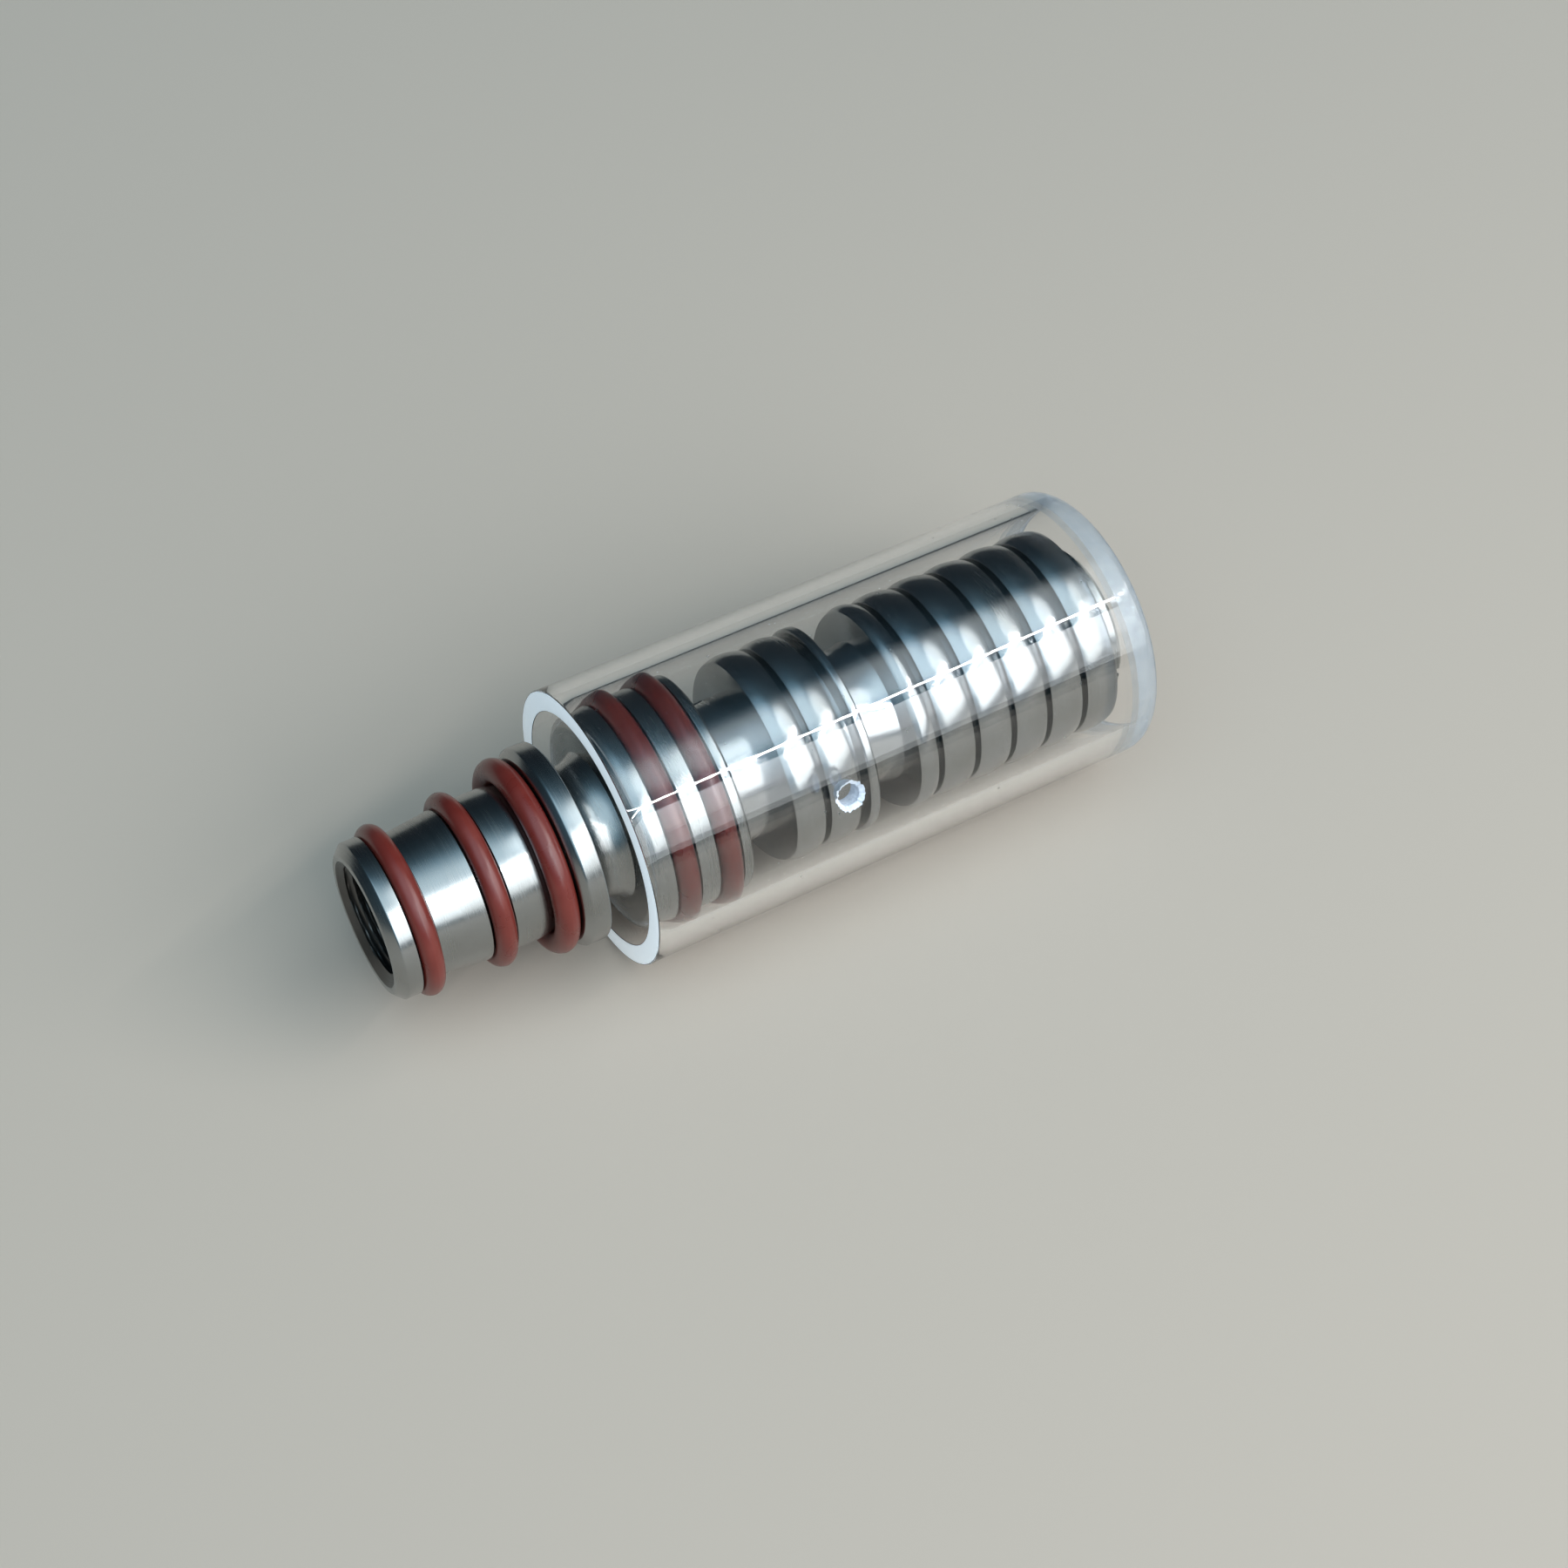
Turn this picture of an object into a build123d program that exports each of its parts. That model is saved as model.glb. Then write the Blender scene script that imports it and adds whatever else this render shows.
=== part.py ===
from build123d import *
import os
from math import cos, radians, sin

# In-line magnetic filter cartridge: a turned steel core with an O-ring nose, held in a clear sleeve.
# Millimetres. X is the core's axis, the nose points along -X, and X = 0 is the flange's stop face.

# Nose, flange and neck
MOUTH_X = -12.7
LIP_R = 5.55
MOUTH_R = 4.5
THREAD_R = 3.6
THREAD_START_X = -12.1
THREAD_END_X = -4.0
FLOW_R = 2.6
NOSE_R = 5.0
SHOULDER_R = 5.43
FLANGE_R = 7.15
FLANGE_LENGTH = 1.8
NECK_R = 4.8
NECK_FLARE_R = 5.3
TAIL_R = 4.4
TAIL_END_X = 9.0

# O-rings of the nose: (name, centre along X, groove floor radius), all of one cord
NOSE_CORD = 1.5
NOSE_RINGS = (
    ("nose_oring_front", -10.2, 4.55),
    ("nose_oring_middle", -5.05, 4.7),
)
REAR_RING_X = -0.97
REAR_RING_FLOOR = 5.3
REAR_CORD = 1.7
GROOVE_PLAY = 0.1
SEAT_GAP = 0.02

# Seal collar and the two O-rings that the sleeve turns and slides on
COLLAR_START_X = 4.5
COLLAR_END_X = 11.9
COLLAR_R = 7.85
SLEEVE_CORD = 1.6
SLEEVE_RING_XS = (7.0, 10.2)
SEAL_PLAY = 0.04

# Clear sleeve
SLEEVE_START_X = 3.8
SLEEVE_LENGTH = 40.0
SLEEVE_R = 10.0
SLEEVE_BORE_R = 8.5
SLEEVE_MOUTH_ROUND = 0.9
SLEEVE_INNER_ROUND = 0.35
PORT_X = 18.75
PORT_R = 0.8
PORT_SINK_R = 1.1
PORT_FROM_TOP_DEG = 67.5

# Outlet spool, core tube and magnets
WAIST_R = 5.1
SPOOL_END_X = 15.5
SPOOL_BOSS_END_X = 18.0
FLOW_END_X = 14.7
PORT_HOLE_R = 1.0
FLOW_HOLE_X = 13.4
FLOW_HOLE_DEGS = (135, 225, 315)
TUBE_R = 4.0
TUBE_BORE_R = 3.4
TUBE_END_X = 41.6
MAGNET_R = 3.35
MAGNET_LENGTH = 4.4
MAGNET_COUNT = 4
POLE_LENGTH = 1.0
STACK_PLAY = 0.02

# Fins: the front group, the spacer between, then the rear group
FIN_R = 7.55
FIN_EDGE = 0.15
FIN_FRONT_R = 7.3
FIN_REAR_R = 7.35
FIN_CREST_SHARE = 0.45
GROOVE_WIDTH = 0.5
GROOVE_FLOOR_R = 6.2
FRONT_FINS = (("front_fin_1", 15.5, 18.2), ("front_fin_2", 18.2, 20.95))
DISC_START_X = 20.95
DISC_END_X = 21.95
DISC_RIM = 0.75
SPACER_END_X = 25.3
LEAD_END_X = 27.2
REAR_FIN_COUNT = 5
REAR_END_X = 42.0

# End plug
PLUG_HEAD_R = 5.8
PLUG_HEAD_LENGTH = 1.2
PLUG_BOSS_START_X = 39.3
PLUG_RING_X = 40.4
PLUG_RING_CORD = 0.9
PLUG_GROOVE_R = 2.47
SLOT_WIDTH = 1.2
SLOT_DEPTH = 0.7


def turned(*outline):
    """A solid turned about the X axis from a closed outline of (x, radius) corners."""
    return revolve(make_face(Polyline(*outline, close=True)), Axis.X)


def turned_curve(*lines):
    """A solid turned about the X axis from straight and curved lines that close on themselves."""
    edges = [edge for line in lines for edge in line.edges()]
    return revolve(make_face(edges), Axis.X)


def o_ring(centre_x, floor_r, cord):
    """A torus of round cord that lies just clear of its groove's floor."""
    section = Pos(centre_x, floor_r + SEAT_GAP + cord / 2) * Circle(cord / 2)
    return revolve(section, Axis.X)


def groove(centre_x, floor_r, cord, outer_r):
    """The square groove that a ring of this cord sits in."""
    half = cord / 2 + GROOVE_PLAY
    return turned(
        (centre_x - half, floor_r),
        (centre_x + half, floor_r),
        (centre_x + half, outer_r),
        (centre_x - half, outer_r),
    )


def radial_plane(x, from_top_deg, distance):
    """The plane that faces outwards this far from X, turned from straight up towards -Y."""
    angle = radians(from_top_deg)
    outward = (0, -sin(angle), cos(angle))
    return Plane((x, distance * outward[1], distance * outward[2]), z_dir=outward)


def radial_hole(x, from_top_deg, radius, inner_r, outer_r):
    return extrude(radial_plane(x, from_top_deg, inner_r) * Circle(radius), outer_r - inner_r)


def inlet_spigot():
    """Nose with its threaded inlet, three ring grooves, stop flange, waisted neck and plain tail."""
    neck_start = FLANGE_LENGTH
    neck_middle = (neck_start + COLLAR_START_X) / 2
    body_end = REAR_RING_X - REAR_CORD / 2 - GROOVE_PLAY
    outside = (
        (THREAD_START_X, THREAD_R),
        (MOUTH_X, MOUTH_R),
        (MOUTH_X, LIP_R - 0.65),
        (MOUTH_X + 0.35, LIP_R - 0.25),
        (MOUTH_X + 0.95, LIP_R),
        (MOUTH_X + 1.7, LIP_R),
        (MOUTH_X + 3.3, NOSE_R),
        (NOSE_RINGS[1][1], SHOULDER_R),
        (body_end, SHOULDER_R),
        (body_end, REAR_RING_FLOOR),
        (0, REAR_RING_FLOOR),
        (0, FLANGE_R - 0.5),
        (0.5, FLANGE_R),
        (neck_start, FLANGE_R),
        (neck_start, NECK_FLARE_R),
    )
    tail = (
        (COLLAR_START_X, NECK_FLARE_R),
        (COLLAR_START_X, TAIL_R),
        (TAIL_END_X, TAIL_R),
        (TAIL_END_X, FLOW_R),
        (THREAD_END_X + THREAD_R - FLOW_R, FLOW_R),
        (THREAD_END_X, THREAD_R),
        (THREAD_START_X, THREAD_R),
    )
    neck = ThreePointArc(outside[-1], (neck_middle, NECK_R), tail[0])
    body = turned_curve(Polyline(*outside), neck, Polyline(*tail))
    for _, centre_x, floor_r in NOSE_RINGS:
        body -= groove(centre_x, floor_r, NOSE_CORD, FLANGE_R)
    return body


def seal_collar():
    """Collar round the spigot's tail and the spool's boss, with the two sleeve ring grooves."""
    floor_r = SLEEVE_BORE_R - SEAL_PLAY - SLEEVE_CORD - SEAT_GAP
    body = turned(
        (COLLAR_START_X, TAIL_R),
        (COLLAR_START_X, COLLAR_R - 0.7),
        (COLLAR_START_X + 0.25, COLLAR_R - 0.2),
        (COLLAR_START_X + 0.7, COLLAR_R),
        (COLLAR_END_X - 0.2, COLLAR_R),
        (COLLAR_END_X, COLLAR_R - 0.2),
        (COLLAR_END_X, TUBE_R),
        (TAIL_END_X, TUBE_R),
        (TAIL_END_X, TAIL_R),
    )
    for ring_x in SLEEVE_RING_XS:
        body -= groove(ring_x, floor_r, SLEEVE_CORD, SLEEVE_R)
    return body


def sleeve_ring(ring_x):
    return o_ring(ring_x, SLEEVE_BORE_R - SEAL_PLAY - SLEEVE_CORD - SEAT_GAP, SLEEVE_CORD)


def clear_sleeve():
    """Thick clear tube, cut flat at the nose end, rounded at the far end, with one countersunk port."""
    end_x = SLEEVE_START_X + SLEEVE_LENGTH
    outer = SLEEVE_MOUTH_ROUND
    inner = SLEEVE_INNER_ROUND
    outer_middle = outer * (1 - sin(radians(45)))
    inner_middle = inner * (1 - sin(radians(45)))
    body = turned_curve(
        Polyline(
            (end_x - inner, SLEEVE_BORE_R),
            (SLEEVE_START_X, SLEEVE_BORE_R),
            (SLEEVE_START_X, SLEEVE_R),
            (end_x - outer, SLEEVE_R),
        ),
        ThreePointArc(
            (end_x - outer, SLEEVE_R),
            (end_x - outer_middle, SLEEVE_R - outer_middle),
            (end_x, SLEEVE_R - outer),
        ),
        Line((end_x, SLEEVE_R - outer), (end_x, SLEEVE_BORE_R + inner)),
        ThreePointArc(
            (end_x, SLEEVE_BORE_R + inner),
            (end_x - inner_middle, SLEEVE_BORE_R + inner_middle),
            (end_x - inner, SLEEVE_BORE_R),
        ),
    )
    sink_depth = PORT_SINK_R - PORT_R
    sink = Cone(PORT_R, PORT_SINK_R + sink_depth, 2 * sink_depth)
    body -= radial_hole(PORT_X, PORT_FROM_TOP_DEG, PORT_R, SLEEVE_BORE_R - 1, SLEEVE_R + 1)
    return body - radial_plane(PORT_X, PORT_FROM_TOP_DEG, SLEEVE_R) * sink


def outlet_spool():
    """First waist: water leaves the blind bore through its cross holes. A boss plugs the core tube."""
    body = turned(
        (TAIL_END_X, FLOW_R),
        (TAIL_END_X, TUBE_R),
        (COLLAR_END_X, TUBE_R),
        (COLLAR_END_X, WAIST_R),
        (SPOOL_END_X, WAIST_R),
        (SPOOL_END_X, TUBE_BORE_R),
        (SPOOL_BOSS_END_X, TUBE_BORE_R),
        (SPOOL_BOSS_END_X, 0),
        (FLOW_END_X, 0),
        (FLOW_END_X - FLOW_R, FLOW_R),
    )
    for from_top_deg in FLOW_HOLE_DEGS:
        body -= radial_hole(FLOW_HOLE_X, from_top_deg, PORT_HOLE_R, 0.5, WAIST_R + 1)
    return body


def core_tube():
    return turned(
        (SPOOL_END_X, TUBE_BORE_R),
        (SPOOL_END_X, TUBE_R),
        (TUBE_END_X, TUBE_R),
        (TUBE_END_X, TUBE_BORE_R),
    )


def fin(start_x, end_x):
    """Pole ring with a flat front face and a barrel-shaped edge, then half of a narrow dark groove."""
    arc_end = end_x - GROOVE_WIDTH
    crest_x = start_x + FIN_CREST_SHARE * (arc_end - start_x)
    return turned_curve(
        Polyline((end_x, TUBE_R), (start_x, TUBE_R), (start_x, FIN_FRONT_R)),
        ThreePointArc((start_x, FIN_FRONT_R), (crest_x, FIN_R), (arc_end, FIN_REAR_R)),
        Polyline(
            (arc_end, FIN_REAR_R),
            (arc_end + 0.1, GROOVE_FLOOR_R),
            (end_x, GROOVE_FLOOR_R),
            (end_x, TUBE_R),
        ),
    )


def edge_disc():
    """Thin last ring of the front group, standing behind a groove of its own."""
    rim_start = DISC_END_X - DISC_RIM
    return turned(
        (DISC_START_X, TUBE_R),
        (DISC_START_X, GROOVE_FLOOR_R),
        (rim_start, GROOVE_FLOOR_R),
        (rim_start, FIN_R - FIN_EDGE),
        (rim_start + FIN_EDGE, FIN_R),
        (DISC_END_X - FIN_EDGE, FIN_R),
        (DISC_END_X, FIN_R - FIN_EDGE),
        (DISC_END_X, TUBE_R),
    )


def spacer_spool():
    """Second waist, slightly hollow in its middle."""
    middle_x = (DISC_END_X + SPACER_END_X) / 2
    return turned_curve(
        Polyline(
            (SPACER_END_X, WAIST_R + 0.1),
            (SPACER_END_X, TUBE_R),
            (DISC_END_X, TUBE_R),
            (DISC_END_X, WAIST_R + 0.1),
        ),
        ThreePointArc((DISC_END_X, WAIST_R + 0.1), (middle_x, WAIST_R - 0.1), (SPACER_END_X, WAIST_R + 0.1)),
    )


def rod(start_x, length, radius):
    """A disc or short rod on the axis, as a magnet or a pole piece."""
    return turned((start_x, 0), (start_x, radius), (start_x + length, radius), (start_x + length, 0))


def end_plug():
    """Slotted plug that closes the core tube and clamps the fins, with a ring groove on its boss."""
    head_end = REAR_END_X + PLUG_HEAD_LENGTH
    body = turned(
        (PLUG_BOSS_START_X, 0),
        (PLUG_BOSS_START_X, TUBE_BORE_R - SEAT_GAP),
        (REAR_END_X, TUBE_BORE_R - SEAT_GAP),
        (REAR_END_X, PLUG_HEAD_R),
        (head_end - 0.4, PLUG_HEAD_R),
        (head_end, PLUG_HEAD_R - 0.4),
        (head_end, 0),
    )
    body -= groove(PLUG_RING_X, PLUG_GROOVE_R, PLUG_RING_CORD, TUBE_R)
    slot_x = head_end - SLOT_DEPTH / 2
    return body - Pos(slot_x, 0, 0) * Box(SLOT_DEPTH, 3 * PLUG_HEAD_R, SLOT_WIDTH)


def make_parts():
    parts = {
        "inlet_spigot": inlet_spigot(),
        "nose_oring_rear": o_ring(REAR_RING_X, REAR_RING_FLOOR, REAR_CORD),
        "seal_collar": seal_collar(),
        "sleeve_oring_front": sleeve_ring(SLEEVE_RING_XS[0]),
        "sleeve_oring_rear": sleeve_ring(SLEEVE_RING_XS[1]),
        "clear_sleeve": clear_sleeve(),
        "outlet_spool": outlet_spool(),
        "core_tube": core_tube(),
        "front_edge_disc": edge_disc(),
        "spacer_spool": spacer_spool(),
        "rear_lead_ring": fin(SPACER_END_X, LEAD_END_X),
        "end_plug": end_plug(),
        "plug_oring": o_ring(PLUG_RING_X, PLUG_GROOVE_R, PLUG_RING_CORD),
    }
    for name, centre_x, floor_r in NOSE_RINGS:
        parts[name] = o_ring(centre_x, floor_r, NOSE_CORD)
    for name, start_x, end_x in FRONT_FINS:
        parts[name] = fin(start_x, end_x)
    pitch = (REAR_END_X - LEAD_END_X) / REAR_FIN_COUNT
    for number in range(REAR_FIN_COUNT):
        start_x = LEAD_END_X + number * pitch
        parts[f"rear_fin_{number + 1}"] = fin(start_x, start_x + pitch)
    next_x = SPOOL_BOSS_END_X + STACK_PLAY
    for number in range(MAGNET_COUNT):
        parts[f"magnet_{number + 1}"] = rod(next_x, MAGNET_LENGTH, MAGNET_R)
        next_x += MAGNET_LENGTH + STACK_PLAY
        if number < MAGNET_COUNT - 1:
            parts[f"pole_disc_{number + 1}"] = rod(next_x, POLE_LENGTH, MAGNET_R)
            next_x += POLE_LENGTH + STACK_PLAY
    return parts


os.makedirs("parts", exist_ok=True)
for node, shape in make_parts().items():
    export_step(shape, f"parts/{node}.step")
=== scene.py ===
import bpy
import numpy as np
from math import pi, radians
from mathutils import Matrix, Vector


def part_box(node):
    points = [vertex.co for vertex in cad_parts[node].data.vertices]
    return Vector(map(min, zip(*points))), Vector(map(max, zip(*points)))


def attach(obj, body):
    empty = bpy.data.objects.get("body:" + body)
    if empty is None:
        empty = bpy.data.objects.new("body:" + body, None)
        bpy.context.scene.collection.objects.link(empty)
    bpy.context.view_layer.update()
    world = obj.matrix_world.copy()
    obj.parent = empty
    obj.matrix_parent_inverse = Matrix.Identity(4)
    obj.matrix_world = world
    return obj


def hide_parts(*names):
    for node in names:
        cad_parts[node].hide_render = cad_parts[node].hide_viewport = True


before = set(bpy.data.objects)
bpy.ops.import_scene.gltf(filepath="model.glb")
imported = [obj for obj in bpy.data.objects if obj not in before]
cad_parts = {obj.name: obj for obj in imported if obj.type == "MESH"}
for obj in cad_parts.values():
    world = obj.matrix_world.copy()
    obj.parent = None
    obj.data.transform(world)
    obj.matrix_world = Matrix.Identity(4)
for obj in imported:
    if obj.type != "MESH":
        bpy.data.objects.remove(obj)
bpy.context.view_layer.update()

# Inlet spigot: one piece of turned stainless steel. Its nose takes three rings, its flange stops
# it in its socket, its waisted neck reaches into the collar, and its mouth is threaded inside.
mm = 0.001
around = 288
spigot_low, spigot_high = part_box("inlet_spigot")
mouth_x = spigot_low[0]
flange_r = spigot_high[1]
flange_end = 1.8 * mm
neck_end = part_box("seal_collar")[0][0]
tail_end = spigot_high[0]
lip_r = 5.55 * mm
mouth_r = 4.5 * mm
thread_r = 3.6 * mm
thread_depth = 0.4 * mm
thread_pitch = 0.75 * mm
thread_end = -4.0 * mm
flow_r = 2.6 * mm
nose_r = 5.0 * mm
shoulder_r = 5.43 * mm
tail_r = 4.4 * mm
neck_r = 4.8 * mm
neck_flare = 0.5 * mm
seat_gap = 0.02 * mm
ring_play = 0.1 * mm
edge = 0.06 * mm


def softened(corners, steps=4):
    """An outline with each (x, r, reach) corner rounded by the quadratic curve from a to b,
    p(t) = (1 - t)^2 a + 2 t (1 - t) corner + t^2 b, where a and b lie a reach away on each side."""
    points = np.array(corners, float)
    here, size = points[:, :2], points[:, 2]
    back = np.roll(here, 1, axis=0) - here
    ahead = np.roll(here, -1, axis=0) - here
    back_length = np.linalg.norm(back, axis=1)
    ahead_length = np.linalg.norm(ahead, axis=1)
    reach = np.minimum(size, 0.45 * np.minimum(back_length, ahead_length))
    a = here + back * (reach / back_length)[:, None]
    b = here + ahead * (reach / ahead_length)[:, None]
    t = np.linspace(0, 1, steps + 1)[None, :, None]
    curve = (1 - t) ** 2 * a[:, None] + 2 * t * (1 - t) * here[:, None] + t**2 * b[:, None]
    kept = (size > 0)[:, None] | (np.arange(steps + 1) == 0)
    return curve[kept]


def grid_faces(rows, columns):
    """Four-cornered faces of a grid that closes on itself both ways."""
    index = np.arange(rows * columns).reshape(rows, columns)
    ahead = np.roll(index, -1, axis=0)
    faces = np.stack([index, ahead, np.roll(ahead, -1, axis=1), np.roll(index, -1, axis=1)], -1)
    return faces.reshape(-1, 4)


def made(name, points, faces, sharp_deg=30):
    """An object at the origin, smooth except where two faces meet at more than sharp_deg."""
    mesh = bpy.data.meshes.new(name)
    mesh.from_pydata(points.reshape(-1, 3), [], faces.tolist())
    mesh.shade_smooth()
    mesh.set_sharp_from_angle(angle=radians(sharp_deg))
    piece = bpy.data.objects.new(name, mesh)
    bpy.context.scene.collection.objects.link(piece)
    return piece


def turned(name, outline, relief=None):
    """A closed outline of (x, r) points carried round the X axis: (x, r sin v, r cos v), with
    relief(x, r, v) added to r. The outline is put in the order that faces the surface outwards."""
    x, r = np.array(outline).T
    if np.sum(x * np.roll(r, -1) - np.roll(x, -1) * r) > 0:
        x, r = x[::-1], r[::-1]
    v = np.linspace(0, 2 * pi, around, endpoint=False)[None, :]
    x, r = x[:, None] + 0 * v, r[:, None] + 0 * v
    if relief is not None:
        r = r + relief(x, r, v)
    points = np.stack([x, r * np.sin(v), r * np.cos(v)], -1)
    return made(name, points, grid_faces(*x.shape))


def node(material, kind, inputs, **settings):
    """Adds a shader node. Each input is a value, or the output that feeds it."""
    new = material.node_tree.nodes.new("ShaderNode" + kind)
    for key, value in settings.items():
        setattr(new, key, value)
    for key, value in inputs.items():
        if isinstance(value, bpy.types.NodeSocket):
            material.node_tree.links.new(value, new.inputs[key])
        else:
            new.inputs[key].default_value = value
    return new.outputs


def spread(material, value, low, high, to_low, to_high):
    """The value, read from low to high, mapped to the range to_low to to_high."""
    read = {"Value": value, "From Min": low, "From Max": high}
    return node(material, "MapRange", {**read, "To Min": to_low, "To Max": to_high})[0]


def shaded(name, base, worn, cloud, **uniform):
    """A material whose colour runs from base to worn where cloud(material) is high."""
    material = bpy.data.materials.new(name)
    material.use_nodes = True
    shader = material.node_tree.nodes["Principled BSDF"]
    for key, value in uniform.items():
        shader.inputs[key.replace("_", " ")].default_value = value
    links = material.node_tree.links
    amount, rough, normal = cloud(material)
    colours = {0: amount, 6: (*base, 1), 7: (*worn, 1)}
    links.new(node(material, "Mix", colours, data_type="RGBA")[2], shader.inputs["Base Color"])
    links.new(rough, shader.inputs["Roughness"])
    links.new(normal, shader.inputs["Normal"])
    return material


def lathe_steel(name, base, worn, rough, mark_depth, marks_per_mm):
    """Steel with fine tool marks that run round X, since their noise is read far faster along x
    and r than round the axis. They roughen it and vary its gloss. A slow cloud of smudges dulls
    it where it is handled, and makes its surface very slightly uneven."""

    def cloud(material):
        place = node(material, "TexCoord", {})["Object"]
        split = node(material, "SeparateXYZ", {"Vector": place})
        flat = node(material, "CombineXYZ", {"Y": split["Y"], "Z": split["Z"]})[0]
        radius = node(material, "VectorMath", {0: flat}, operation="LENGTH")["Value"]
        rate = marks_per_mm / mm
        along = node(material, "Math", {0: split["X"], 1: rate}, operation="MULTIPLY")[0]
        out = node(material, "Math", {0: radius, 1: rate}, operation="MULTIPLY")[0]
        side = node(material, "Math", {0: split["Y"], 1: 90.0}, operation="MULTIPLY")[0]
        lines = node(material, "CombineXYZ", {"X": along, "Y": out, "Z": side})[0]
        marks = node(material, "TexNoise", {"Vector": lines, "Scale": 1.0, "Detail": 3.0})[0]
        smudge = node(material, "TexNoise", {"Vector": place, "Scale": 240.0, "Detail": 5.0})[0]
        gloss = spread(material, marks, 0.3, 0.7, rough * 0.85, rough * 1.2)
        dull = spread(material, smudge, 0.45, 0.75, 0.0, 0.09)
        both = node(material, "Math", {0: gloss, 1: dull}, operation="ADD")[0]
        bump = {"Height": marks, "Strength": 1.0, "Distance": mark_depth * mm}
        lined = node(material, "Bump", bump)[0]
        bump = {"Height": smudge, "Strength": 1.0, "Distance": 0.006 * mm, "Normal": lined}
        dented = node(material, "Bump", bump)[0]
        return spread(material, smudge, 0.35, 0.7, 0.0, 1.0), both, dented

    return shaded(name, base, worn, cloud, Metallic=1.0)


satin_steel = lathe_steel("satin_steel", (0.35, 0.36, 0.36), (0.29, 0.29, 0.28), 0.22, 0.00025, 11)
# The darker, rougher steel is for the inside of the spigot's mouth; its dark colour is painted
# shade.
painted_shade_steel = lathe_steel("painted_shade_steel", (0.13, 0.125, 0.12), (0.09, 0.085, 0.08), 0.34, 0.0004, 17)


def fitted(piece, cad_node, body, slot, *materials):
    """The finished piece rides on its body, stands for its CAD node and takes its finish."""
    for material in materials:
        piece.data.materials.append(material)
    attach(piece, body)
    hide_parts(cad_node)


def ring_groove(cad_node, start_r, end_r):
    """Corners of the square groove round this ring, from start_r down to the ring and up again to
    end_r. It is ring_play wider than the cord each side, and seat_gap deeper than it."""
    low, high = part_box(cad_node)
    cord = high[0] - low[0]
    floor = high[2] - cord - seat_gap
    start, end = low[0] - ring_play, high[0] + ring_play
    return [(start, start_r, edge), (start, floor, edge), (end, floor, edge), (end, end_r, edge)]


middle_low, middle_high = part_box("nose_oring_middle")
rear_low, rear_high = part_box("nose_oring_rear")
taper_x = mouth_x + 3.3 * mm
taper = (shoulder_r - nose_r) / ((middle_low[0] + middle_high[0]) / 2 - taper_x)
middle_r = nose_r + taper * (middle_low[0] - ring_play - taper_x)
rear_floor = rear_high[2] - (rear_high[0] - rear_low[0]) - seat_gap
neck_x = np.linspace(flange_end, neck_end, 25)[1:-1]
neck_out = neck_r + neck_flare * (2 * (neck_x - flange_end) / (neck_end - flange_end) - 1) ** 2
bore_x = np.linspace(thread_end, mouth_x + 0.12 * mm, 160)
sink = (mouth_r - thread_r) / (0.6 * mm)
bore_r = np.maximum(thread_r, mouth_r - sink * (bore_x - mouth_x))
spigot_outline = softened(
    [
        (mouth_x, mouth_r, edge),
        (mouth_x, lip_r - 0.62 * mm, 0.1 * mm),
        (mouth_x + 0.6 * mm, lip_r, 0.07 * mm),
        *ring_groove("nose_oring_front", lip_r, nose_r + 0.05 * mm),
        (taper_x, nose_r, 0.3 * mm),
        *ring_groove("nose_oring_middle", middle_r, shoulder_r),
        (rear_low[0] - ring_play, shoulder_r, edge),
        (rear_low[0] - ring_play, rear_floor, edge),
        (0, rear_floor, edge),
        (0, flange_r - 0.5 * mm, 0.1 * mm),
        (0.5 * mm, flange_r, 0.12 * mm),
        (flange_end, flange_r, 0.1 * mm),
        (flange_end, neck_r + neck_flare, 0.15 * mm),
        *[(x, r, 0) for x, r in zip(neck_x, neck_out)],
        (neck_end, neck_r + neck_flare, 0),
        (neck_end, tail_r, 0),
        (tail_end, tail_r, edge),
        (tail_end, flow_r, edge),
        (thread_end + thread_r - flow_r, flow_r, 0),
        *[(x, r, 0) for x, r in zip(bore_x, bore_r)],
    ]
)


def thread(x, r, v):
    """A cut one pitch long that moves along x once a turn, as deep as a clipped triangle wave of
    x / pitch - v / 2 pi. It fades at the bore's end and never comes inside the countersink."""
    wave = 1 - np.abs(2 * np.mod(x / thread_pitch - v / (2 * pi), 1) - 1)
    fade = np.clip((thread_end - x) / (1.2 * mm), 0, 1)
    root = thread_r + thread_depth * np.clip(1.5 * wave - 0.25, 0, 1) * fade
    inside = (x < thread_end) & (r < mouth_r)
    return np.where(inside, np.maximum(root - r, 0), 0)


spigot = turned("inlet_spigot_turned", spigot_outline, thread)

# Painted shade in the mouth: a face takes the darker steel when all its corners are nearer the axis
# than the mouth's edge, and no more than the reach below past the thread's end.
painted_shade_reach = 2 * mm
spots = np.empty(len(spigot.data.vertices) * 3, np.float32)
spigot.data.vertices.foreach_get("co", spots)
corners = np.empty(len(spigot.data.loops), np.int32)
spigot.data.loops.foreach_get("vertex_index", corners)
spots = spots.reshape(-1, 3)[corners].reshape(-1, 4, 3)
near_mouth = spots[:, :, 0] < thread_end + painted_shade_reach
inside_mouth = np.hypot(spots[:, :, 1], spots[:, :, 2]) < mouth_r
painted_shade_faces = (near_mouth & inside_mouth).all(-1)
spigot.data.polygons.foreach_set("material_index", painted_shade_faces.astype(np.int32))
fitted(spigot, "inlet_spigot", "core", "turned_steel", satin_steel, painted_shade_steel)

# Nose rings: three brick-red silicone O-rings, moulded, each with a faint flash line round its
# inside and outside where the mould halves met. They stretch into the nose's grooves.
flash = 0.012 * mm
rubber_red = (0.14, 0.018, 0.013)


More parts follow.
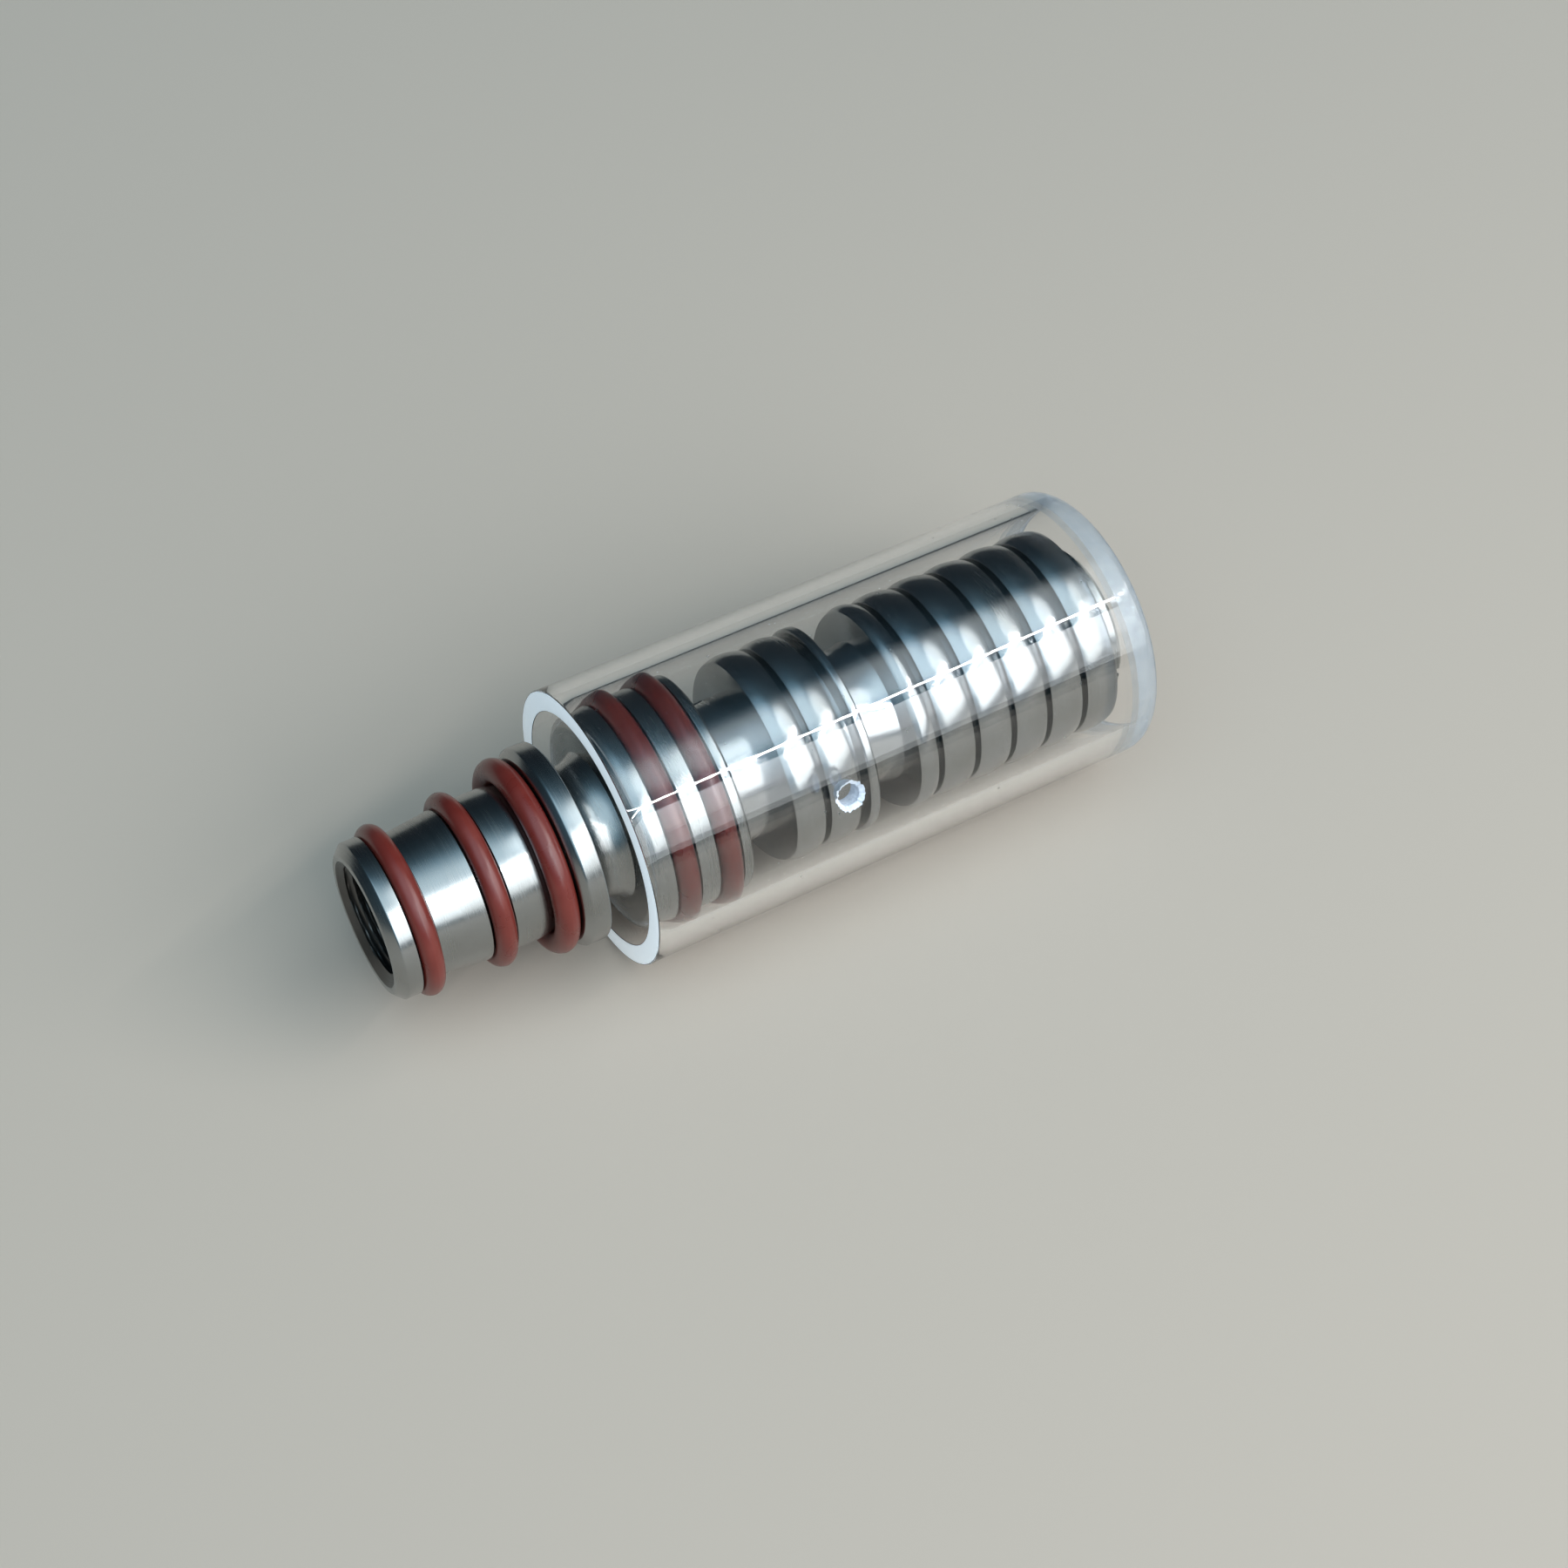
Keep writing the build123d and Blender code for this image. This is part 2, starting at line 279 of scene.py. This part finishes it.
def silicone_cloud(material):
    """Fine matt grain, with slow patches of dust that lighten the colour."""
    place = node(material, "TexCoord", {})["Object"]
    patch = node(material, "TexNoise", {"Vector": place, "Scale": 420.0, "Detail": 4.0})[0]
    grain = node(material, "TexNoise", {"Vector": place, "Scale": 9000.0, "Detail": 2.0})[0]
    rough = spread(material, patch, 0.3, 0.7, 0.24, 0.36)
    bump = {"Height": grain, "Strength": 1.0, "Distance": 0.0015 * mm}
    return spread(material, patch, 0.4, 0.8, 0.0, 1.0), rough, node(material, "Bump", bump)[0]


silicone = shaded("red_silicone", rubber_red, (0.18, 0.032, 0.024), silicone_cloud)


def o_ring(cad_node, body):
    """A torus: the cord's radius is a, plus a narrow bell of flash where its section faces the axis
    or away from it. The point is (x + a sin u, (R + a cos u) sin v, (R + a cos u) cos v)."""
    low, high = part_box(cad_node)
    cord = (high[0] - low[0]) / 2
    u = np.linspace(0, 2 * pi, 64, endpoint=False)
    bell = np.exp(-((np.sin(u) / 0.09) ** 2))
    a = cord - flash + flash * bell
    x = (low[0] + high[0]) / 2 + a * np.sin(u)
    ring = turned(cad_node + "_moulded", np.stack([x, high[2] - cord + a * np.cos(u)], -1))
    fitted(ring, cad_node, body, "red_silicone", silicone)


o_ring("nose_oring_front", "core")
o_ring("nose_oring_middle", "core")
o_ring("nose_oring_rear", "core")

# Seal collar: a turned steel ring pressed on the spigot's tail, with two square grooves. Its front
# edge has a bright chamfer.
collar_low, collar_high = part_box("seal_collar")
collar_start, collar_end, collar_r = collar_low[0], collar_high[0], collar_high[2]
tube_r = 4.0 * mm
collar_outline = softened(
    [
        (collar_start, tail_r, 0),
        (collar_start, collar_r - 0.7 * mm, 0.1 * mm),
        (collar_start + 0.25 * mm, collar_r - 0.2 * mm, 0.15 * mm),
        (collar_start + 0.7 * mm, collar_r, 0.2 * mm),
        *ring_groove("sleeve_oring_front", collar_r, collar_r),
        *ring_groove("sleeve_oring_rear", collar_r, collar_r),
        (collar_end - 0.2 * mm, collar_r, 0.1 * mm),
        (collar_end, collar_r - 0.2 * mm, 0.1 * mm),
        (collar_end, tube_r, 0),
        (tail_end, tube_r, 0),
        (tail_end, tail_r, 0),
    ]
)
collar = turned("seal_collar_turned", collar_outline)
fitted(collar, "seal_collar", "core", "turned_steel", satin_steel)

# Sleeve rings: two thicker moulded rings of the same silicone, stretched into the collar's
# grooves. The sleeve is held by their squeeze, and turns and slides on them.
o_ring("sleeve_oring_front", "sleeve_seals")
o_ring("sleeve_oring_rear", "sleeve_seals")

# Outlet spool: the first waist, brightly turned, with a boss each side. The CAD node shows its
# three cross holes, so it is kept and only takes the finish.
bright_steel = lathe_steel("bright_steel", (0.38, 0.39, 0.4), (0.32, 0.32, 0.31), 0.18, 0.0002, 13)
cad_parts["outlet_spool"].data.materials.clear()
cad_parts["outlet_spool"].data.materials.append(bright_steel)

# Core tube, magnets and pole discs: a drawn tube over a stack of nickel-plated rod magnets with
# soft steel discs between them. All are hidden by the fins, and keep their CAD shapes.
nickel = lathe_steel("nickel_plate", (0.62, 0.58, 0.51), (0.55, 0.51, 0.45), 0.14, 0.0004, 3)
for name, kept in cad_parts.items():
    if name.startswith(("core_tube", "pole_disc", "magnet")):
        kept.data.materials.clear()
        kept.data.materials.append(nickel if name.startswith("magnet") else satin_steel)

# Front fins: two turned pole rings slipped on the tube. Each has a flat front face, an edge rounded
# like a barrel, and behind it a step down to half of a narrow dark groove.
groove_width = 0.5 * mm
groove_r = 6.2 * mm
front_drop = 0.25 * mm
rear_drop = 0.2 * mm
crest_share = 0.45


def fin(cad_node):
    """The edge is a parabola each side of the crest: it drops as the square of the distance from
    the crest, by front_drop at the front face and by rear_drop at the groove."""
    low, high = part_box(cad_node)
    start, end = low[0], high[0]
    arc_end = end - groove_width
    t = np.linspace(0, 1, 33)
    ahead = np.clip((crest_share - t) / crest_share, 0, 1)
    behind = np.clip((t - crest_share) / (1 - crest_share), 0, 1)
    edge_x = start + t * (arc_end - start)
    edge_r = high[2] - front_drop * ahead**2 - rear_drop * behind**2
    outline = softened(
        [
            (start, tube_r, 0),
            (start, edge_r[0], edge),
            *[(x, r, 0) for x, r in zip(edge_x[1:-1], edge_r[1:-1])],
            (arc_end, edge_r[-1], edge),
            (arc_end + 0.1 * mm, groove_r, edge),
            (end, groove_r, 0),
            (end, tube_r, 0),
        ]
    )
    fitted(turned(cad_node + "_turned", outline), cad_node, "core", "turned_steel", bright_steel)


fin("front_fin_1")
fin("front_fin_2")

# Front edge disc: the thin last ring of the front group, turned steel with a groove of its own
# in front. It is slipped on the tube and clamped with the fins.
disc_low, disc_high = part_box("front_edge_disc")
disc_rim = disc_high[0] - 0.75 * mm
disc_outline = softened(
    [
        (disc_low[0], tube_r, 0),
        (disc_low[0], groove_r, 0),
        (disc_rim, groove_r, edge),
        (disc_rim, disc_high[2] - 0.15 * mm, edge),
        (disc_rim + 0.15 * mm, disc_high[2], edge),
        (disc_high[0] - 0.15 * mm, disc_high[2], edge),
        (disc_high[0], disc_high[2] - 0.15 * mm, edge),
        (disc_high[0], tube_r, 0),
    ]
)
disc = turned("front_edge_disc_turned", disc_outline)
fitted(disc, "front_edge_disc", "core", "turned_steel", bright_steel)

# Spacer spool: the second waist, a polished steel sleeve that keeps the two groups of fins
# apart on the tube. It is turned slightly hollow in its middle.
spacer_low, spacer_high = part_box("spacer_spool")
spacer_t = np.linspace(-1, 1, 21)
spacer_x = (spacer_low[0] + spacer_high[0]) / 2 + spacer_t * (spacer_high[0] - spacer_low[0]) / 2
spacer_r = spacer_high[2] - 0.2 * mm * (1 - spacer_t**2)
spacer_outline = [(spacer_low[0], tube_r), *zip(spacer_x, spacer_r), (spacer_high[0], tube_r)]
spacer = turned("spacer_spool_turned", spacer_outline)
fitted(spacer, "spacer_spool", "core", "turned_steel", bright_steel)

# Rear fins: a short lead ring and five equal pole rings, turned to the same shape as the front
# ones. They are slipped on the tube in a row, and the end plug clamps them all.
fin("rear_lead_ring")
fin("rear_fin_1")
fin("rear_fin_2")
fin("rear_fin_3")
fin("rear_fin_4")
fin("rear_fin_5")

# End plug and its ring: a slotted steel plug that closes the tube and clamps the fins. It keeps
# its CAD shape for the slot. Its hidden ring is moulded like the others.
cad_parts["end_plug"].data.materials.clear()
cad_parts["end_plug"].data.materials.append(satin_steel)
o_ring("plug_oring", "core")

# Clear sleeve: a thick drawn tube of clear plastic, sawn flat at the nose end, rounded and buffed
# a little cloudy at the far end. One small port is drilled through it, and its countersink is
# left white and chipped.
sleeve_low, sleeve_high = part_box("clear_sleeve")
sleeve_start, sleeve_end, sleeve_r = sleeve_low[0], sleeve_high[0], sleeve_high[2]
sleeve_bore = 8.5 * mm
port_x = 18.75 * mm
port_from_top = radians(67.5)
port_r = 0.8 * mm
port_sink_r = 1.1 * mm
end_round = 0.9 * mm
bore_round = 0.35 * mm
buffed_length = 2.0 * mm
chip_size = 0.09 * mm
chip_waves = 24
weld_reach = 1e-4 * mm
window_columns = 20
sleeve_columns = 320
plastic_index = 1.49


def drawn_cloud(material):
    """Faint waves along the tube from drawing it, and tiny dull specks of dust."""
    place = node(material, "TexCoord", {})["Object"]
    long = node(material, "Mapping", {"Vector": place, "Scale": (0.06, 1, 1)})[0]
    wave = node(material, "TexNoise", {"Vector": long, "Scale": 500.0, "Detail": 2.0})[0]
    speck = node(material, "TexVoronoi", {"Vector": place, "Scale": 420.0})["Distance"]
    rough = spread(material, speck, 0.03, 0.06, 0.3, 0.0)
    bump = {"Height": wave, "Strength": 1.0, "Distance": 0.002 * mm}
    return spread(material, speck, 0.03, 0.06, 1.0, 0.0), rough, node(material, "Bump", bump)[0]


clear = shaded(
    "clear_plastic",
    (1, 1, 1),
    (0.9, 0.93, 0.95),
    drawn_cloud,
    Transmission_Weight=1.0,
    IOR=plastic_index,
)


def frost_cloud(material):
    """Crumbled drill marks: coarse and fine noise together."""
    place = node(material, "TexCoord", {})["Object"]
    crumb = node(material, "TexNoise", {"Vector": place, "Scale": 3500.0, "Detail": 6.0})[0]
    rough = spread(material, crumb, 0.3, 0.7, 0.55, 0.85)
    bump = {"Height": crumb, "Strength": 1.0, "Distance": 0.05 * mm}
    return spread(material, crumb, 0.4, 0.7, 0.0, 1.0), rough, node(material, "Bump", bump)[0]


frosted = shaded("frosted_cut", (0.8, 0.83, 0.9), (0.6, 0.63, 0.7), frost_cloud)


def saw_cloud(material):
    """Very fine arcs left by the saw and sanded nearly flat. The material made with it also has a
    faint emission: a painted glow that stands in for the light on the face."""
    place = node(material, "TexCoord", {})["Object"]
    arcs = node(material, "Mapping", {"Vector": place, "Scale": (1, 0.2, 1)})[0]
    grain = node(material, "TexNoise", {"Vector": arcs, "Scale": 5000.0, "Detail": 4.0})[0]
    rough = spread(material, grain, 0.3, 0.7, 0.45, 0.6)
    bump = {"Height": grain, "Strength": 1.0, "Distance": 0.004 * mm}
    return spread(material, grain, 0.4, 0.7, 0.0, 1.0), rough, node(material, "Bump", bump)[0]


# Painted glow: the emission below makes the sawn face shine, though it is no lamp.
sawn = shaded(
    "sawn_face_painted_glow",
    (0.93, 0.97, 1.0),
    (0.86, 0.92, 0.97),
    saw_cloud,
    Emission_Color=(0.86, 0.95, 1.0, 1.0),
    Emission_Strength=0.3,
)


def buffed_cloud(material):
    """Polish that thins out into fine grain, so the light it lets through is a little blurred,
    and some of it is scattered white."""
    place = node(material, "TexCoord", {})["Object"]
    grain = node(material, "TexNoise", {"Vector": place, "Scale": 1500.0, "Detail": 4.0})[0]
    rough = spread(material, grain, 0.35, 0.65, 0.06, 0.24)
    bump = {"Height": grain, "Strength": 1.0, "Distance": 0.008 * mm}
    return spread(material, grain, 0.4, 0.7, 0.0, 1.0), rough, node(material, "Bump", bump)[0]


buffed = shaded(
    "buffed_end",
    (0.8, 0.86, 0.92),
    (0.68, 0.75, 0.83),
    buffed_cloud,
    Transmission_Weight=0.84,
    IOR=plastic_index,
)


def drilled_sleeve():
    """The wall is an outline carried round X, with a square window left out of its outside and of
    its bore. Each window is filled by rings of points that go in even steps from the square to the
    hole, and the port's wall joins the two holes. Points are (x, r sin v, r cos v). The hole's edge
    is chipped by a sum of sines of its own angle. Points that meet are made one, and each face
    gets the number of its finish: 0 clear, 1 frosted, 2 sawn, 3 buffed."""
    dv = 2 * pi / sleeve_columns
    v = -port_from_top + dv * (np.arange(sleeve_columns) - sleeve_columns // 2)
    half_x = window_columns / 2 * dv * sleeve_r
    patch_x = port_x + np.linspace(-half_x, half_x, window_columns + 1)
    far_x = np.linspace(port_x + half_x, sleeve_end - end_round, 22)[1:]
    near_x = np.linspace(sleeve_start + 0.12 * mm, port_x - half_x, 16)[:-1]
    arc = np.linspace(0, pi / 2, 13)[1:]
    rim_x = sleeve_end - end_round * (1 - np.sin(arc))
    rim_r = sleeve_r - end_round * (1 - np.cos(arc))
    lip_x = sleeve_end - bore_round * (1 - np.cos(arc))
    lip_of_bore = sleeve_bore + bore_round * (1 - np.sin(arc))
    outside_x = np.concatenate([near_x, patch_x, far_x])
    bore_end = far_x[-1:] + end_round - bore_round
    bore_x = np.concatenate([bore_end, far_x[:-1][::-1], patch_x[::-1], near_x[::-1]])
    outline = np.concatenate(
        [
            np.stack([outside_x, 0 * outside_x + sleeve_r], -1),
            np.stack([rim_x, rim_r], -1),
            [(sleeve_end, sleeve_bore + bore_round)],
            np.stack([lip_x, lip_of_bore], -1)[:-1],
            np.stack([bore_x, 0 * bore_x + sleeve_bore], -1),
            [(sleeve_start + 0.03 * mm, sleeve_bore), (sleeve_start, sleeve_bore + 0.04 * mm)],
            [(sleeve_start, sleeve_r - 0.1 * mm), (sleeve_start + 0.04 * mm, sleeve_r - 0.02 * mm)],
        ]
    )
    x, r = outline[:, :1] + 0 * v, outline[:, 1:] + 0 * v
    faces = grid_faces(*x.shape)
    points = np.stack([x, r * np.sin(v), r * np.cos(v)], -1).reshape(-1, 3)
    middle = sleeve_columns // 2
    half = window_columns // 2
    column = np.arange(sleeve_columns)
    in_columns = (column >= middle - half) & (column < middle + half)
    row_x = outline[:, 0]
    row_next = np.roll(row_x, -1)
    straight = outline[:, 1] == np.roll(outline[:, 1], -1)
    mid_row = (row_x + row_next) / 2
    in_rows = straight & (np.abs(mid_row - port_x) < half_x)
    faces = faces[~(in_rows[:, None] & in_columns[None, :]).reshape(-1)]

    side = np.linspace(-1, 1, window_columns + 1)[:-1]
    one = np.ones(window_columns)
    square_x = np.concatenate([side, one, -side, -one])
    square_v = np.concatenate([-one, side, one, -side])
    turn = np.arctan2(square_v, square_x)
    rng = np.random.default_rng(4)
    phase = rng.uniform(0, 2 * pi, chip_waves)
    weight = rng.uniform(0.3, 1, chip_waves)
    waves = np.sin(np.outer(turn, 3 + np.arange(chip_waves)) + phase) * weight
    chip = chip_size * (waves.sum(-1) / 5)
    step = np.linspace(0, 1, 9)[:, None]

    def ring(wall_r, hole):
        """Rings from the square to the hole, in x and in angle, on the cylinder of wall_r."""
        hole_x = hole * np.cos(turn)
        hole_v = np.arcsin(hole * np.sin(turn) / wall_r)
        ring_x = port_x + (1 - step) * square_x * half_x + step * hole_x
        ring_v = -port_from_top + (1 - step) * square_v * half * dv + step * hole_v
        return np.stack([ring_x, wall_r * np.sin(ring_v), wall_r * np.cos(ring_v)], -1)

    outer_ring = ring(sleeve_r, port_sink_r + chip)
    bore_ring = ring(sleeve_bore, port_r + 0.3 * np.abs(chip))
    depth = np.array([0.12, 0.3, 0.5, 0.8, 1.1, 1.3])[:, None] * mm
    chipped = np.array([0.9, 0.6, 0.35, 0.2, 0.1, 0.1])[:, None]
    hole = np.maximum(port_r, port_sink_r - depth) + chip * chipped
    across = hole * np.sin(turn)
    up = np.sqrt(sleeve_r**2 - across**2) - depth
    lean = np.arctan2(across, up) - port_from_top
    reach = np.hypot(across, up)
    wall_x = port_x + hole * np.cos(turn)
    wall_points = np.stack([wall_x, reach * np.sin(lean), reach * np.cos(lean)], -1)
    tunnel = np.concatenate([outer_ring[-1:], wall_points, bore_ring[-1:]])

    def strip(block, flip):
        """Faces of a grid that closes round its second direction only."""
        rows, columns = block.shape[:2]
        quads = grid_faces(rows, columns).reshape(rows, columns, 4)[:-1].reshape(-1, 4)
        return quads[:, ::-1] if flip else quads

    blocks = [(outer_ring, True), (bore_ring, False), (tunnel, True)]
    count = len(points)
    all_points = [points]
    all_faces = [faces]
    for block, flip in blocks:
        all_faces.append(strip(block, flip) + count)
        all_points.append(block.reshape(-1, 3))
        count += block.shape[0] * block.shape[1]
    points = np.concatenate(all_points)
    faces = np.concatenate(all_faces)
    cells = np.round(points / weld_reach)
    _, first, same = np.unique(cells, axis=0, return_index=True, return_inverse=True)
    points, faces = points[first], same.reshape(-1)[faces]
    finish = np.zeros(len(faces), np.int32)
    face_x = points[faces][:, :, 0]
    finish[-len(all_faces[-1]) :] = 1
    finish[(face_x < sleeve_start + 1e-3 * mm).all(-1)] = 2
    finish[(face_x > sleeve_end - buffed_length).all(-1)] = 3
    return points, faces, finish


sleeve_points, sleeve_faces, sleeve_finish = drilled_sleeve()
sleeve = made("clear_sleeve_drilled", sleeve_points, sleeve_faces)
sleeve.data.polygons.foreach_set("material_index", sleeve_finish)
fitted(sleeve, "clear_sleeve", "sleeve", "clear_tube", clear, frosted, sawn, buffed)

# Floor: a plain pale matt sheet that the sleeve lies on. It is not part of the object, and only
# gives it something to stand on and to cast its shadow on.
floor_z = sleeve_low[2]
floor_reach = 2.0
floor_square = np.array([(-1, -1), (1, -1), (1, 1), (-1, 1)]) * floor_reach
floor_corners = [(x, y, floor_z) for x, y in floor_square]
floor_mesh = bpy.data.meshes.new("floor")
floor_mesh.from_pydata(floor_corners, [], [(0, 1, 2, 3)])
floor = bpy.data.objects.new("floor", floor_mesh)
bpy.context.scene.collection.objects.link(floor)
floor_paint = bpy.data.materials.new("pale_floor")
floor_paint.use_nodes = True
floor_shader = floor_paint.node_tree.nodes["Principled BSDF"]
floor_shader.inputs["Base Color"].default_value = (0.5, 0.42, 0.35, 1)
floor_shader.inputs["Roughness"].default_value = 0.8
floor_mesh.materials.append(floor_paint)

# Lights: a broad soft window low on the near side, in two panes with a bar between them, and a
# very thin bright strip above it, which draws the fine white line along the sleeve.
lit_middle = np.array([0.016, 0, 0])
light_azimuth = 24
light_distance = 0.5
light_width = 0.6


def light(name, elevation, height, radiance, colour):
    """A rectangle of light that faces the middle of the object. Its azimuth turns from -Y towards
    +X, and its power is its radiance times its area times pi."""
    turn, lift = radians(light_azimuth), radians(elevation)
    away = np.array([np.sin(turn) * np.cos(lift), -np.cos(turn) * np.cos(lift), np.sin(lift)])
    lamp = bpy.data.lights.new(name, "AREA")
    lamp.shape = "RECTANGLE"
    lamp.size = light_width
    lamp.size_y = height
    lamp.energy = radiance * light_width * height * pi
    lamp.color = colour
    holder = bpy.data.objects.new(name, lamp)
    holder.location = lit_middle + away * light_distance
    holder.rotation_euler = (pi / 2 - lift, 0, turn)
    bpy.context.scene.collection.objects.link(holder)


light("window_top", 33.2, 0.156, 4.1, (0.95, 0.98, 1.0))
light("window_foot", 16.6, 0.132, 3.0, (0.93, 0.98, 1.0))
light("strip", 48.6, 0.01, 45, (1.0, 1.0, 1.0))

# Sky: dark and bluish all round, brightening in steps towards sky_middle overhead. A small soft
# glow beside it lights the crests of the fins.
sky_middle = (-0.25, -0.47, 0.85)
glow_middle = (0.5, -0.26, 0.826)
glow_colour = (1.9, 2.0, 2.0)
world = bpy.data.worlds.new("sky")
world.use_nodes = True
bpy.context.scene.world = world
heading = node(world, "TexCoord", {})["Generated"]
facing = node(world, "VectorMath", {0: heading, 1: sky_middle}, operation="DOT_PRODUCT")["Value"]
ramp = world.node_tree.nodes.new("ShaderNodeValToRGB")
world.node_tree.links.new(spread(world, facing, -1.0, 1.0, 0.0, 1.0), ramp.inputs["Fac"])
stops = [
    (0.0, (0.03, 0.035, 0.04)),
    (0.46, (0.02, 0.03, 0.04)),
    (0.645, (0.025, 0.045, 0.06)),
    (0.735, (0.05, 0.09, 0.12)),
    (0.825, (0.07, 0.15, 0.21)),
    (0.895, (0.38, 0.66, 0.86)),
    (0.96, (1.1, 1.5, 1.75)),
]
ramp.color_ramp.elements[0].position = 0.0
for place, colour in stops[1:-1]:
    ramp.color_ramp.elements.new(place)
for element, (place, colour) in zip(ramp.color_ramp.elements, stops):
    element.position = place
    element.color = (*colour, 1)
glow = node(world, "VectorMath", {0: heading, 1: glow_middle}, operation="DOT_PRODUCT")["Value"]
soft = {"Value": glow, "From Min": 0.935, "From Max": 0.985}
near = node(world, "MapRange", soft, interpolation_type="SMOOTHSTEP")[0]
layers = {0: near, 1: glow_colour, 2: ramp.outputs["Color"]}
sky = node(world, "VectorMath", layers, operation="MULTIPLY_ADD")[0]
world.node_tree.links.new(sky, world.node_tree.nodes["Background"].inputs["Color"])

# Camera: above and to the left of the nose. Light passes through the sleeve's two walls and off
# the steel many times, so it is let bounce often, and the thin strip's share isn't clipped.
camera = bpy.data.objects.new("camera", bpy.data.cameras.new("camera"))
camera.location = (-42.65 * mm, -106.08 * mm, 132.99 * mm)
camera.rotation_euler = (radians(90 - 48.15), 0, radians(-30.16))
camera.data.lens = 59.92
camera.data.sensor_width = 36
camera.data.clip_start = 0.01
bpy.context.scene.collection.objects.link(camera)
bpy.context.scene.camera = camera
bpy.context.scene.view_settings.view_transform = "Standard"
bpy.context.scene.cycles.sample_clamp_indirect = 0
bpy.context.scene.cycles.max_bounces = 20
bpy.context.scene.cycles.glossy_bounces = 12
bpy.context.scene.cycles.transmission_bounces = 20
